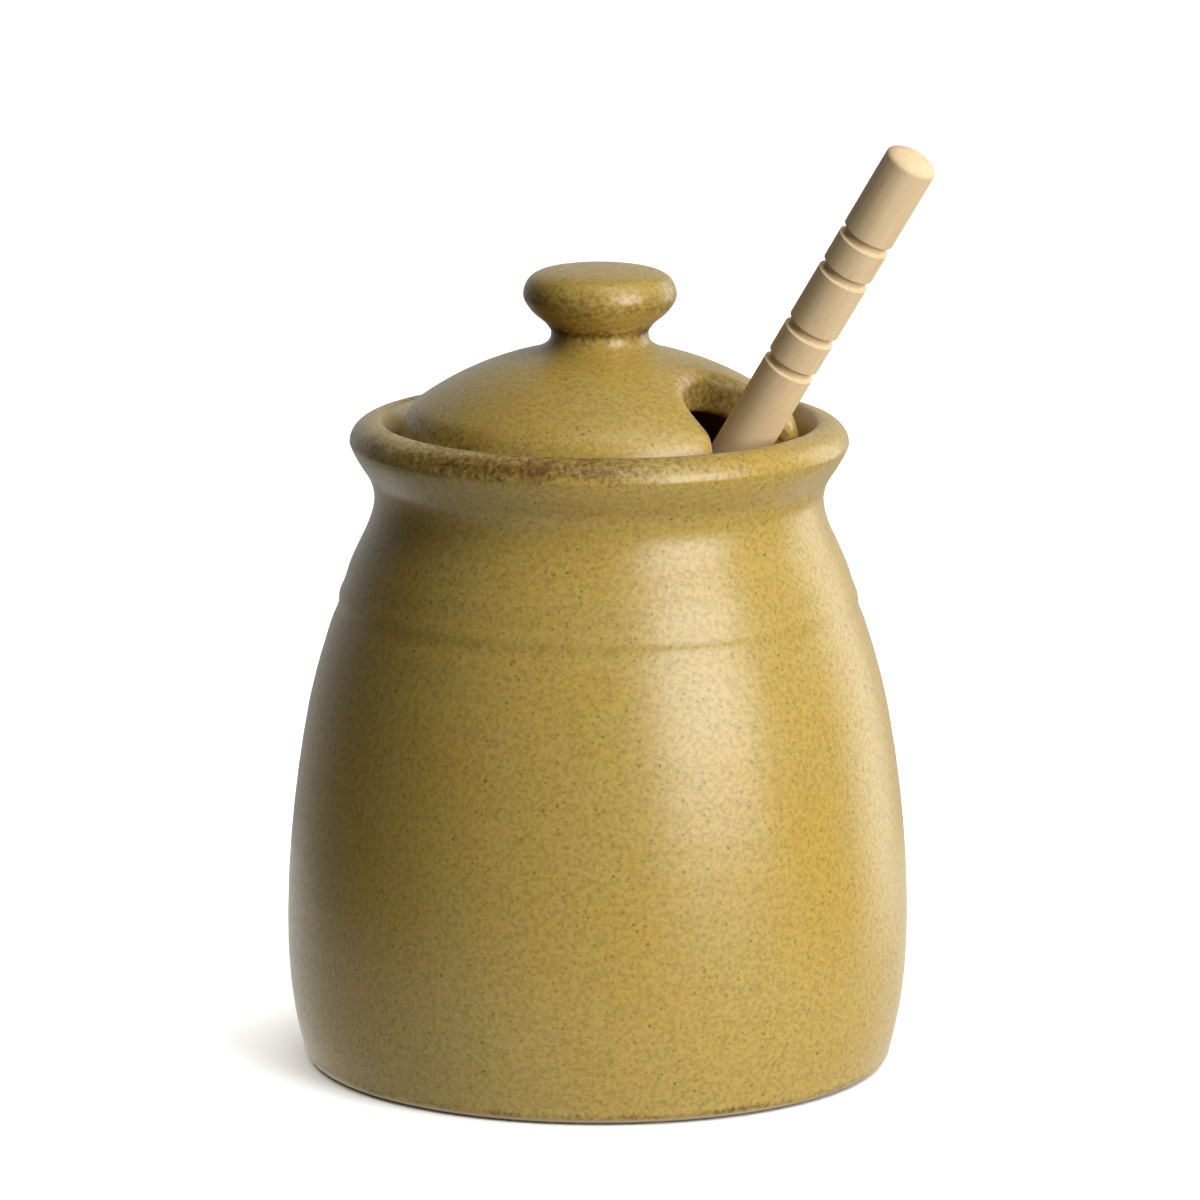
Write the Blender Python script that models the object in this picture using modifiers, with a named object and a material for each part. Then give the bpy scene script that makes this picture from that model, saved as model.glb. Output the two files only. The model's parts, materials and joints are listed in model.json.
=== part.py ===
"""A stoneware honey pot in three loose pieces: a thrown jar with a gallery rim, a domed lid with a knob and
a notch, and a turned beech dipper that leans out through the notch.

Metres, +Z up. The origin is the middle of the jar's flat base, and the viewer stands on the -Y side.
"""

import math

import bmesh
import bpy
from mathutils import Matrix, Vector
from mathutils.geometry import interpolate_bezier, intersect_point_line

# The jar's outside, from the foot up: a radius and a height for each place where the thrown wall turns
FOOT_RADIUS = 0.0474
FOOT_ROUND = 0.0024
FOOT_SPLAY = 0.0048
BELLY_RADIUS = 0.0525
BELLY_HEIGHT = 0.0260
SHOULDER_RADIUS = 0.0492
SHOULDER_HEIGHT = 0.0590
COLLAR_RADIUS = 0.0422
COLLAR_HEIGHT = 0.0836
NECK_RADIUS = 0.03775
NECK_HEIGHT = 0.0960
RIM_RADIUS = 0.0419
RIM_HEIGHT = 0.1054
LIP_HEIGHT = 0.1092
LIP_INSET = 0.0046
LIP_ROUND = 0.0010

# The jar's inside, with the ledge in its gallery that carries the lid
WALL = 0.0055
BASE_THICKNESS = 0.0065
FLOOR_ROUND = 0.0100
LEDGE_HEIGHT = 0.1005
LEDGE_RADIUS = 0.0280
LEDGE_THICKNESS = 0.0035
LEDGE_SLOPE = 0.0045
GALLERY_HEIGHT = 0.0030

# The lid: a cap of a sphere with a thick rolled edge, and a bun knob on a narrow neck. Under its widest place
# the knob turns in to a sharp crease above the neck. Heights are from the lid's foot.
LID_RADIUS = 0.0337
LID_HEIGHT = 0.0212
LID_DOME_RADIUS = 0.0520
LID_WALL = 0.0066
LID_EDGE_WIDTH = 0.0030
LID_EDGE_DROP = 0.0061
LID_FOOT_ROUND = 0.0018
LID_FOOT_WIDTH = 0.0048
LID_HOLLOW_ROUND = 0.0040
KNOB_NECK_RADIUS = 0.0082
KNOB_NECK_HEIGHT = 0.0225
KNOB_NECK_FLARE = 0.0043
KNOB_CREASE_RADIUS = 0.0088
KNOB_CREASE_HEIGHT = 0.0244
KNOB_UNDER_RADIUS = 0.0116
KNOB_UNDER_HEIGHT = 0.0270
KNOB_RADIUS = 0.01285
KNOB_WIDEST_HEIGHT = 0.0296
KNOB_SHOULDER_RADIUS = 0.0114
KNOB_SHOULDER_HEIGHT = 0.0326
KNOB_CROWN_RADIUS = 0.0070
KNOB_CROWN_HEIGHT = 0.0339
KNOB_HEIGHT = 0.0343

# The dipper, turned from one beech rod with a softly domed end
DIPPER_LENGTH = 0.1722
HANDLE_RADIUS = 0.00445
HANDLE_SHOULDER_RADIUS = 0.0032
HANDLE_SHOULDER_DROP = 0.0006
HANDLE_END_DROP = 0.0019
BAND_WIDTH = 0.0018
BAND_DEPTH = 0.0007
BAND_SPACING = 0.0071
BAND_PAIRS = (0.0170, 0.0359)
HEAD_RADIUS = 0.0155
HEAD_LENGTH = 0.0400
HEAD_CURVE = 0.0270
HEAD_CORE_RADIUS = 0.0085
RING_COUNT = 7
RING_GAP = 0.0028
HEAD_NECK_LENGTH = 0.0070

# How the pieces sit in one another
SEAT_GAP = 0.0003
LID_PLAY = 0.0005
LID_TURN = math.radians(-3.5)
DIPPER_LEAN = math.radians(32.0)
DIPPER_DIRECTION = math.radians(-30.0)
NOTCH_PLAY = 0.0086
NOTCH_SIDE_PLAY = 0.0058
NOTCH_FLARE = math.radians(15.0)
NOTCH_CORNER_ROUND = 0.0030
NOTCH_EDGE_ROUND = 0.0020

# Fineness of the solids, and how much wider than the notch the lid's columns spread at the knob
JAR_STEPS = 56
LID_BACK_STEPS = 22
NOTCH_STEPS = 4
NOTCH_FAN = math.radians(14.0)
DOME_SHARES = (0, 0.06, 0.20, 0.45, 0.72)
DIPPER_STEPS = 24

GLAZE_COLOUR = (0.42, 0.28, 0.08)
BEECH_COLOUR = (0.58, 0.38, 0.20)


def arc(centre, radii, start, end, steps):
    """Points on an ellipse between two angles in degrees, counted from outwards towards up."""
    points = []
    for i in range(steps + 1):
        angle = math.radians(start + (end - start) * i / steps)
        points.append((centre[0] + radii[0] * math.cos(angle), centre[1] + radii[1] * math.sin(angle)))
    return points


def smooth(stations, steps, before=None, after=None):
    """A curve through the stations that passes each one parallel to the line between its neighbours.

    The guides before and after stand in for a neighbour at the ends.
    """
    points = [Vector(station) for station in stations]
    curve = []
    for i, (start, end) in enumerate(zip(points, points[1:])):
        behind = points[i - 1] if i else Vector(before or start)
        ahead = points[i + 2] if i + 2 < len(points) else Vector(after or end)
        reach = (end - start).length / 3
        leave = start + (end - behind).normalized() * reach
        arrive = end - (ahead - start).normalized() * reach
        curve += [tuple(p) for p in interpolate_bezier(start, leave, arrive, end, steps + 1)[:-1]]
    return curve + [tuple(points[-1])]


def jar_inside():
    """The jar's inside from the middle of the floor up to the top of the gallery."""
    floor_edge = BELLY_RADIUS - WALL - FLOOR_ROUND
    wall_foot = BASE_THICKNESS + FLOOR_ROUND
    under_ledge = LEDGE_HEIGHT - LEDGE_THICKNESS
    corner = arc((floor_edge, wall_foot), (FLOOR_ROUND, FLOOR_ROUND), -90, 0, 6)
    wall = smooth(
        [
            corner[-1],
            (BELLY_RADIUS - WALL, BELLY_HEIGHT),
            (SHOULDER_RADIUS - WALL, SHOULDER_HEIGHT),
            (COLLAR_RADIUS - WALL, COLLAR_HEIGHT),
            (LEDGE_RADIUS + LEDGE_SLOPE, under_ledge - LEDGE_SLOPE),
        ],
        4,
        before=(BELLY_RADIUS - WALL, BASE_THICKNESS),
    )
    gallery = LID_RADIUS + LID_PLAY
    nose = LEDGE_THICKNESS / 2
    ledge = arc((LEDGE_RADIUS + nose, LEDGE_HEIGHT - nose), (nose, nose), 225, 90, 5)
    return [(0, BASE_THICKNESS)] + corner[:-1] + wall + ledge + [(gallery, LEDGE_HEIGHT)]


def jar_profile():
    """The jar's whole section, from the middle of the floor over the lip to the middle of the base."""
    crest = RIM_RADIUS - LIP_INSET
    gallery = LID_RADIUS + LID_PLAY
    lip_inside = arc((crest, LIP_HEIGHT - LIP_ROUND), (LIP_ROUND, LIP_ROUND), 150, 90, 3)
    lip_outside = arc((crest, RIM_HEIGHT), (LIP_INSET, LIP_HEIGHT - RIM_HEIGHT), 90, 0, 6)
    foot = arc((FOOT_RADIUS, FOOT_ROUND), (FOOT_ROUND, FOOT_ROUND), 0, -90, 3)
    wall = smooth(
        [
            (RIM_RADIUS, RIM_HEIGHT),
            (NECK_RADIUS, NECK_HEIGHT),
            (COLLAR_RADIUS, COLLAR_HEIGHT),
            (SHOULDER_RADIUS, SHOULDER_HEIGHT),
            (BELLY_RADIUS, BELLY_HEIGHT),
            foot[0],
        ],
        5,
        before=(RIM_RADIUS, LIP_HEIGHT),
        after=(foot[0][0] - FOOT_SPLAY, 0),
    )
    inside = jar_inside() + [(gallery, LEDGE_HEIGHT + GALLERY_HEIGHT)] + lip_inside
    return inside + lip_outside[1:-1] + wall + foot[1:] + [(0, 0)]


def spaced(start, end, steps):
    """Even steps from start to end, both included."""
    return [start + (end - start) * i / steps for i in range(steps + 1)]


def ease(share):
    """A share from 0 to 1 that starts and ends level."""
    share = min(max(share, 0), 1)
    return share * share * (3 - 2 * share)


def roll(distance, width):
    """How far a quarter-round edge has fallen, as a share of its depth: all of it at distance 0."""
    share = min(max(distance / width, 0), 1)
    return 1 - math.sqrt(share * (2 - share))


def lid_top(radius):
    """Height of the dome above the lid's foot, with the sweep up to the knob's neck."""
    dome = LID_HEIGHT - LID_DOME_RADIUS + math.sqrt(LID_DOME_RADIUS**2 - radius**2)
    neck_base = LID_HEIGHT - LID_DOME_RADIUS + math.sqrt(LID_DOME_RADIUS**2 - KNOB_NECK_RADIUS**2)
    return dome + (KNOB_NECK_HEIGHT - neck_base) * roll(radius - KNOB_NECK_RADIUS, KNOB_NECK_FLARE)


def lid_under(radius):
    """Height of the lid's underside: a flat foot ring, and a hollow as deep as the wall allows inside it."""
    ceiling = LID_HEIGHT - LID_DOME_RADIUS + math.sqrt((LID_DOME_RADIUS - LID_WALL) ** 2 - radius**2)
    foot_inside = LID_RADIUS - LID_FOOT_WIDTH
    return ceiling * ease((foot_inside - radius) / LID_HOLLOW_ROUND)


def lid_outline(apex):
    """The lid's plan with its notch along +X, whose inner end is apex away from the middle.

    Each place has its point, the direction it faces, how much it belongs to the thick outer edge, from 0 in
    the notch to 1 round the back, and the angle at which its column leaves the middle. The notch is an arc
    and two straight sides that end in round corners. Its sides draw together as seen from the middle, so
    the columns leave over a wider angle and never cross.
    """
    bend = HANDLE_RADIUS + NOTCH_SIDE_PLAY
    flare = math.degrees(NOTCH_FLARE)
    middle = Vector((apex + bend, 0))
    half = []
    for point in arc(middle, (bend, bend), 180, 90 + flare, NOTCH_STEPS):
        half.append((Vector(point), (middle - Vector(point)) / bend, 0))
    start, facing, _ = half[-1]
    side = Vector((-facing.y, facing.x))
    line = start - facing * NOTCH_CORNER_ROUND
    run = math.sqrt(line.dot(side) ** 2 - line.length_squared + (LID_RADIUS - NOTCH_CORNER_ROUND) ** 2)
    run -= line.dot(side)
    corner = line + side * run
    turn = math.degrees(math.atan2(corner.y, corner.x))
    rounded = arc(corner, (NOTCH_CORNER_ROUND, NOTCH_CORNER_ROUND), flare - 90, turn, NOTCH_STEPS)
    for i, point in enumerate(rounded):
        half.append((Vector(point), (Vector(point) - corner) / NOTCH_CORNER_ROUND, ease(i / NOTCH_STEPS)))
    for point in arc((0, 0), (LID_RADIUS, LID_RADIUS), turn, 180, LID_BACK_STEPS)[1:]:
        half.append((Vector(point), Vector(point) / LID_RADIUS, 1))
    fan = math.radians(turn) + NOTCH_FAN
    turns = spaced(0, fan, NOTCH_STEPS) + spaced(fan, fan + NOTCH_FAN / 2, NOTCH_STEPS + 1)[1:]
    turns += spaced(turns[-1], math.pi, LID_BACK_STEPS)[1:]
    half = [(*place, turn) for place, turn in zip(half, turns)]
    flip = Vector((1, -1))
    mirrored = [(point * flip, facing * flip, edge, -turn) for point, facing, edge, turn in half[1:-1]]
    return half + mirrored[::-1]


def swung(end, turn, share, radius):
    """The point at this radius on a path that leaves the middle at turn and comes round to end at share 1."""
    lag = (math.atan2(end.y, end.x) - turn + math.pi) % math.tau - math.pi
    return (radius * math.cos(turn + lag * share), radius * math.sin(turn + lag * share))


def knob_profile():
    """The knob's outside from near its top down to its neck."""
    bun = smooth(
        [
            (0, KNOB_HEIGHT),
            (KNOB_CROWN_RADIUS, KNOB_CROWN_HEIGHT),
            (KNOB_SHOULDER_RADIUS, KNOB_SHOULDER_HEIGHT),
            (KNOB_RADIUS, KNOB_WIDEST_HEIGHT),
            (KNOB_UNDER_RADIUS, KNOB_UNDER_HEIGHT),
            (KNOB_CREASE_RADIUS, KNOB_CREASE_HEIGHT),
        ],
        3,
        before=(-KNOB_CROWN_RADIUS, KNOB_CROWN_HEIGHT),
        after=(KNOB_NECK_RADIUS, KNOB_NECK_HEIGHT),
    )
    return bun[1:] + [(KNOB_NECK_RADIUS, (KNOB_CREASE_HEIGHT + KNOB_NECK_HEIGHT) / 2)]


def lid_rings(apex):
    """The lid's sections as rings of points: round at the knob, notched at the edge and again underneath."""
    columns = []
    for point, facing, edge, turn in lid_outline(apex):
        width = NOTCH_EDGE_ROUND + (LID_EDGE_WIDTH - NOTCH_EDGE_ROUND) * edge
        drop = NOTCH_EDGE_ROUND + (LID_EDGE_DROP - NOTCH_EDGE_ROUND) * edge
        dome_end = point - facing * width
        column = [(*swung(dome_end, turn, 0, radius), height) for radius, height in knob_profile()]
        for share in DOME_SHARES:
            radius = KNOB_NECK_RADIUS + (dome_end.length - KNOB_NECK_RADIUS) * share
            column.append((*swung(dome_end, turn, share, radius), lid_top(radius)))
        for angle in spaced(0, math.pi / 2, 4):
            inset = width * (1 - math.sin(angle))
            place = point - facing * inset
            column.append((*place, lid_top(place.length) - drop * roll(inset, width)))
        for angle in spaced(0, math.pi / 2, 3):
            inset = LID_FOOT_ROUND * (1 - math.cos(angle))
            place = point - facing * inset
            column.append((*place, lid_under(place.length) + LID_FOOT_ROUND * roll(inset, LID_FOOT_ROUND)))
        foot_end = place
        for share in spaced(0, 1, 4):
            radius = min(LID_RADIUS - LID_FOOT_WIDTH, foot_end.length * 0.95) - LID_HOLLOW_ROUND * share
            column.append((*swung(foot_end, turn, radius / foot_end.length, radius), lid_under(radius)))
        columns.append(column)
    return list(zip(*columns))


def head_radius(height):
    """The barrel outline that the dipper's rings are turned to."""
    return HEAD_RADIUS * math.sqrt(1 - ((height - HEAD_LENGTH / 2) / HEAD_CURVE) ** 2)


def dipper_profile():
    """The dipper's section with the head's end at height 0, from the top of the handle down."""
    shoulder_height = DIPPER_LENGTH - HANDLE_SHOULDER_DROP
    points = smooth(
        [
            (0, DIPPER_LENGTH),
            (HANDLE_SHOULDER_RADIUS, shoulder_height),
            (HANDLE_RADIUS, DIPPER_LENGTH - HANDLE_END_DROP),
        ],
        3,
        before=(-HANDLE_SHOULDER_RADIUS, shoulder_height),
        after=(HANDLE_RADIUS, 0),
    )
    for pair in BAND_PAIRS:
        for middle in (DIPPER_LENGTH - pair, DIPPER_LENGTH - pair - BAND_SPACING):
            points.append((HANDLE_RADIUS, middle + BAND_WIDTH / 2))
            points.append((HANDLE_RADIUS - BAND_DEPTH, middle + BAND_WIDTH / 4))
            points.append((HANDLE_RADIUS - BAND_DEPTH, middle - BAND_WIDTH / 4))
            points.append((HANDLE_RADIUS, middle - BAND_WIDTH / 2))
    top_radius = head_radius(HEAD_LENGTH)
    cove = (top_radius - HANDLE_RADIUS, HEAD_NECK_LENGTH)
    points += arc((top_radius, HEAD_LENGTH + HEAD_NECK_LENGTH), cove, 180, 255, 4)
    ring = (HEAD_LENGTH - (RING_COUNT - 1) * RING_GAP) / RING_COUNT
    for i in reversed(range(RING_COUNT)):
        low = i * (ring + RING_GAP)
        points += [(head_radius(height), height) for height in (low + ring, low + ring / 2, low)]
        if i:
            points += [(HEAD_CORE_RADIUS, low), (HEAD_CORE_RADIUS, low - RING_GAP)]
    return points + [(0, 0)]


def distance_to_path(point, path):
    """The shortest distance from a point to a run of straight pieces."""
    nearest = []
    for start, end in zip(path, path[1:]):
        foot, share = intersect_point_line(point, start, end)
        nearest.append((point - (start if share < 0 else end if share > 1 else foot)).length)
    return min(nearest)


def dipper_seat():
    """The radius and height of the dipper's lower end, in the upright plane of its lean.

    The handle's outer side rests on the ledge, and the head has slid down until it meets the wall or floor.
    """
    along = Vector((math.sin(DIPPER_LEAN), math.cos(DIPPER_LEAN)))
    across = Vector((math.cos(DIPPER_LEAN), -math.sin(DIPPER_LEAN)))
    inside = [Vector(point) for point in jar_inside()]
    side = min(across.dot(point) for point in inside if point.y > COLLAR_HEIGHT) - HANDLE_RADIUS - SEAT_GAP
    head = [(radius, height) for radius, height in dipper_profile() if height < HEAD_LENGTH]
    outline = [across * turn * radius + along * height for radius, height in head for turn in (-1, 1)]
    start = BELLY_HEIGHT / along.y
    end = across * side + along * (start - across.y * side / along.y)
    for _ in range(300):
        placed = [end + point for point in outline]
        gap = min(distance_to_path(Vector((abs(point.x), point.y)), inside) for point in placed)
        end -= along * (gap - SEAT_GAP)
        if gap - SEAT_GAP < 1e-7:
            break
    return end


def principled(name, colour, roughness):
    """A plain material in one colour."""
    material = bpy.data.materials.new(name)
    material.use_nodes = True
    shader = material.node_tree.nodes["Principled BSDF"]
    shader.inputs["Base Color"].default_value = (*colour, 1)
    shader.inputs["Roughness"].default_value = roughness
    shader.inputs["Metallic"].default_value = 0
    return material


def turned(name, profile, steps, material, collection):
    """A piece turned about its own Z axis from a section that starts and ends on it."""
    mesh = bpy.data.meshes.new(name)
    mesh.from_pydata([(r, 0, z) for r, z in profile], [(i, i + 1) for i in range(len(profile) - 1)], [])
    mesh.materials.append(material)
    piece = bpy.data.objects.new(name, mesh)
    collection.objects.link(piece)
    turn = piece.modifiers.new("Turn", "SCREW")
    turn.axis = "Z"
    turn.steps = steps
    turn.render_steps = steps
    turn.use_merge_vertices = True
    turn.merge_threshold = 0.00001
    return piece


def lofted(name, top, rings, bottom, material, collection):
    """A piece skinned over closed rings with the same number of points, and closed by two single points."""
    mesh = bpy.data.meshes.new(name)
    skin = bmesh.new()
    loops = [[skin.verts.new(point) for point in ring] for ring in rings]
    for upper, lower in zip(loops, loops[1:]):
        for i in range(len(upper)):
            skin.faces.new((upper[i - 1], lower[i - 1], lower[i], upper[i]))
    for loop, height in ((loops[0], top), (loops[-1], bottom)):
        middle = skin.verts.new((0, 0, height))
        for i in range(len(loop)):
            skin.faces.new((loop[i - 1], loop[i], middle))
    bmesh.ops.recalc_face_normals(skin, faces=skin.faces)
    skin.to_mesh(mesh)
    skin.free()
    mesh.shade_smooth()
    mesh.materials.append(material)
    piece = bpy.data.objects.new(name, mesh)
    collection.objects.link(piece)
    return piece


def build():
    for old in list(bpy.data.objects):
        bpy.data.objects.remove(old)
    pot = bpy.data.collections.new("honey_pot")
    bpy.context.scene.collection.children.link(pot)
    glaze = principled("ochre_glazed_stoneware", GLAZE_COLOUR, 0.3)
    beech = principled("turned_beech", BEECH_COLOUR, 0.6)

    turned("jar", jar_profile(), JAR_STEPS, glaze, pot)

    end = dipper_seat()
    dipper = turned("dipper", dipper_profile(), DIPPER_STEPS, beech, pot)
    dipper.rotation_euler = (0, DIPPER_LEAN, DIPPER_DIRECTION)
    dipper.location = Matrix.Rotation(DIPPER_DIRECTION, 3, "Z") @ Vector((end.x, 0, end.y))

    seat = LEDGE_HEIGHT + SEAT_GAP
    ceiling = seat + LID_HEIGHT - LID_WALL
    handle_at_ceiling = end.x + (ceiling - end.y) * math.tan(DIPPER_LEAN)
    notch_end = handle_at_ceiling - HANDLE_RADIUS / math.cos(DIPPER_LEAN) - NOTCH_PLAY
    lid = lofted("lid", KNOB_HEIGHT, lid_rings(notch_end), lid_under(0), glaze, pot)
    lid.location = (0, 0, seat)
    lid.rotation_euler = (0, 0, DIPPER_DIRECTION + LID_TURN)


build()
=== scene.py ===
import json
import math

import bmesh
import bpy
from mathutils import Matrix, Vector
from mathutils.geometry import interpolate_bezier


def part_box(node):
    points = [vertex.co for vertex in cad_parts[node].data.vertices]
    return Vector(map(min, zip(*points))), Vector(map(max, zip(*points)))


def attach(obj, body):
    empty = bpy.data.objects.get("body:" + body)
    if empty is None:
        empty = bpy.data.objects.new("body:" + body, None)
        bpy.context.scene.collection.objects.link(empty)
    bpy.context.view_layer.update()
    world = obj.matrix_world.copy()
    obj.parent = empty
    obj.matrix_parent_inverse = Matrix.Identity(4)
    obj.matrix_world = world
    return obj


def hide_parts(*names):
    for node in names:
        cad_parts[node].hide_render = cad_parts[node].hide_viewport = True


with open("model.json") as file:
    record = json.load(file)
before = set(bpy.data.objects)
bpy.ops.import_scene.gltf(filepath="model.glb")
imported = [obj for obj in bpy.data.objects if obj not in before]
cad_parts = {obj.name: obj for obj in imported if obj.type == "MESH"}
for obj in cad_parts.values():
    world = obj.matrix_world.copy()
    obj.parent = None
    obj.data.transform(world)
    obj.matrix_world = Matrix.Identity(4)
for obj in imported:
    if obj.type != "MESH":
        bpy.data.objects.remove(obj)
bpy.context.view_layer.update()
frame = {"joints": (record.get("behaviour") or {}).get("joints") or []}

# The camera looks down a little on the rim from a step away, through a long lens, so the pot keeps nearly
# parallel sides. Its lens is worked out from the photograph's own pixels.
PHOTO_WIDTH_PX = 1200
FOCAL_LENGTH_PX = 8551
SENSOR_MM = 36.0
EYE = Vector((0, -1.4094, 0.36036))
LOOK_AT = Vector((0.00021, 0, 0.07823))
ROLL = math.radians(0.2346)
FARTHEST_SEEN = 20

camera_data = bpy.data.cameras.new("long_lens")
camera_data.sensor_width = SENSOR_MM
camera_data.lens = FOCAL_LENGTH_PX / PHOTO_WIDTH_PX * SENSOR_MM
camera_data.clip_end = FARTHEST_SEEN
camera = bpy.data.objects.new("camera", camera_data)
camera.location = EYE
upright = (LOOK_AT - EYE).to_track_quat("-Z", "Y")
camera.rotation_euler = (upright @ Matrix.Rotation(ROLL, 3, "Z").to_quaternion()).to_euler()
bpy.context.collection.objects.link(camera)
bpy.context.scene.camera = camera


# The jar is thrown in stoneware on a wheel, its foot turned flat and its mouth opened into a rolled rim
# with a gallery inside for the lid. The potter's fingers left faint rings round the neck.
JAR_STEPS = 180
FOOT_RADIUS = 0.0474
FOOT_ROUND = 0.0024
FOOT_SPLAY = 0.0048
BELLY_HEIGHT = 0.0260
SHOULDER_RADIUS = 0.0492
SHOULDER_HEIGHT = 0.0590
COLLAR_RADIUS = 0.0422
COLLAR_HEIGHT = 0.0836
NECK_RADIUS = 0.03775
NECK_HEIGHT = 0.0960
RIM_RADIUS = 0.0419
RIM_HEIGHT = 0.1054
LIP_INSET = 0.0046
LIP_ROUND = 0.0010
WALL = 0.0055
BASE_THICKNESS = 0.0065
FLOOR_ROUND = 0.0100
LEDGE_RADIUS = 0.0280
LEDGE_THICKNESS = 0.0035
LEDGE_SLOPE = 0.0045
GALLERY_HEIGHT = 0.0030
LID_PLAY = 0.0005
SEAT_GAP = 0.0003
ACROSS_BASE = (0.02, 0.3, 0.6, 0.9)
ACROSS_FLOOR = (0.85, 0.5, 0.2, 0.02)

jar_low, jar_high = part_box("jar")
lid_low, lid_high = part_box("lid")
BELLY_RADIUS = jar_high.x
LIP_HEIGHT = jar_high.z
LEDGE_HEIGHT = lid_low.z - SEAT_GAP


def arc(centre, radii, start, end, steps):
    """Points on an ellipse between two angles in degrees, counted from outwards towards up."""
    points = []
    for i in range(steps + 1):
        angle = math.radians(start + (end - start) * i / steps)
        points.append((centre[0] + radii[0] * math.cos(angle), centre[1] + radii[1] * math.sin(angle)))
    return points


def smooth(stations, steps, before=None, after=None):
    """A curve through the stations, parallel at each one to the line between its neighbours."""
    points = [Vector(station) for station in stations]
    curve = []
    for i, (start, end) in enumerate(zip(points, points[1:])):
        behind = points[i - 1] if i else Vector(before or start)
        ahead = points[i + 2] if i + 2 < len(points) else Vector(after or end)
        reach = (end - start).length / 3
        leave = start + (end - behind).normalized() * reach
        arrive = end - (ahead - start).normalized() * reach
        curve += [tuple(p) for p in interpolate_bezier(start, leave, arrive, end, steps + 1)[:-1]]
    return curve + [tuple(points[-1])]


def skinned(name, rings, break_and_shade=None):
    """A closed piece skinned over rings of points, with its ends drawn in to single points.

    The last argument gives for each point how far it is painted brown, from 0 to 1: where the glaze runs
    thin, and on the lid also painted shade.
    """
    mesh = bpy.data.meshes.new(name)
    skin = bmesh.new()
    loops = [[skin.verts.new(point) for point in ring] for ring in rings]
    for upper, lower in zip(loops, loops[1:]):
        for i in range(len(upper)):
            skin.faces.new((upper[i - 1], lower[i - 1], lower[i], upper[i]))
    for loop in (loops[0], loops[-1]):
        middle = sum((vertex.co for vertex in loop), Vector()) / len(loop)
        centre = skin.verts.new(middle)
        for i in range(len(loop)):
            skin.faces.new((loop[i - 1], loop[i], centre))
    bmesh.ops.recalc_face_normals(skin, faces=skin.faces)
    skin.to_mesh(mesh)
    skin.free()
    mesh.shade_smooth()
    edge = mesh.attributes.new("break_and_shade", "FLOAT", "POINT")
    for i, value in enumerate(break_and_shade or []):
        edge.data[i].value = value
    piece = bpy.data.objects.new(name, mesh)
    bpy.context.collection.objects.link(piece)
    return piece


def hump(value, middle, width):
    """A smooth rise to 1 at the middle that has gone a few widths away."""
    return math.exp(-(((value - middle) / width) ** 2))


gallery_radius = max(lid_high.x, -lid_low.x, lid_high.y, -lid_low.y) + LID_PLAY
crest = RIM_RADIUS - LIP_INSET
foot = arc((FOOT_RADIUS, FOOT_ROUND), (FOOT_ROUND, FOOT_ROUND), -90, 0, steps=8)
outer_wall = smooth(
    [
        foot[-1],
        (BELLY_RADIUS, BELLY_HEIGHT),
        (SHOULDER_RADIUS, SHOULDER_HEIGHT),
        (COLLAR_RADIUS, COLLAR_HEIGHT),
        (NECK_RADIUS, NECK_HEIGHT),
        (RIM_RADIUS, RIM_HEIGHT),
    ],
    steps=44,
    before=(foot[-1][0] - FOOT_SPLAY, 0),
    after=(RIM_RADIUS, LIP_HEIGHT),
)
lip_outside = arc((crest, RIM_HEIGHT), (LIP_INSET, LIP_HEIGHT - RIM_HEIGHT), 0, 90, steps=14)
lip_inside = arc((crest, LIP_HEIGHT - LIP_ROUND), (LIP_ROUND, LIP_ROUND), 90, 150, steps=5)
gallery = [
    (gallery_radius, LEDGE_HEIGHT + GALLERY_HEIGHT),
    (gallery_radius, LEDGE_HEIGHT + GALLERY_HEIGHT / 2),
    (gallery_radius, LEDGE_HEIGHT + LIP_ROUND / 2),
    (gallery_radius - LIP_ROUND / 2, LEDGE_HEIGHT),
]
nose = LEDGE_THICKNESS / 2
ledge = arc((LEDGE_RADIUS + nose, LEDGE_HEIGHT - nose), (nose, nose), 90, 225, steps=8)
floor_edge = BELLY_RADIUS - WALL - FLOOR_ROUND
corner_centre = (floor_edge, BASE_THICKNESS + FLOOR_ROUND)
inner_corner = arc(corner_centre, (FLOOR_ROUND, FLOOR_ROUND), 0, -90, steps=10)
inner_wall = smooth(
    [
        (LEDGE_RADIUS + LEDGE_SLOPE, LEDGE_HEIGHT - LEDGE_THICKNESS - LEDGE_SLOPE),
        (COLLAR_RADIUS - WALL, COLLAR_HEIGHT),
        (SHOULDER_RADIUS - WALL, SHOULDER_HEIGHT),
        (BELLY_RADIUS - WALL, BELLY_HEIGHT),
        inner_corner[0],
    ],
    steps=12,
    after=(BELLY_RADIUS - WALL, BASE_THICKNESS),
)
base = [(FOOT_RADIUS * share, 0) for share in ACROSS_BASE]
outside = foot + outer_wall[1:] + lip_outside[1:]
inside = lip_inside[1:] + gallery + ledge + inner_wall + inner_corner[1:]
floor_rings = [(inner_corner[-1][0] * share, BASE_THICKNESS) for share in ACROSS_FLOOR]

# What the wheel leaves in the clay: rings, each with its height, its depth (a ridge's is below 0) and its
# width; a faint spiral; and a wall that is slightly out of round, with two swells and with three
THROWING_RINGS = (
    (0.0864, 0.00003, 0.0010),
    (0.0797, -0.00022, 0.0013),
    (0.0775, 0.00026, 0.0015),
    (0.0995, 0.00010, 0.0012),
)
THROWING_PITCH = 0.0060
THROWING_DEPTH = 0.00002
INNER_THROWING_DEPTH = 0.00020
WHEEL_WOBBLE = 0.00018
TWO_SWELLS = 0.3
TWO_SWELLS_TWIST = 40
THREE_SWELLS = 0.2
THREE_SWELLS_TWIST = 65

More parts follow.
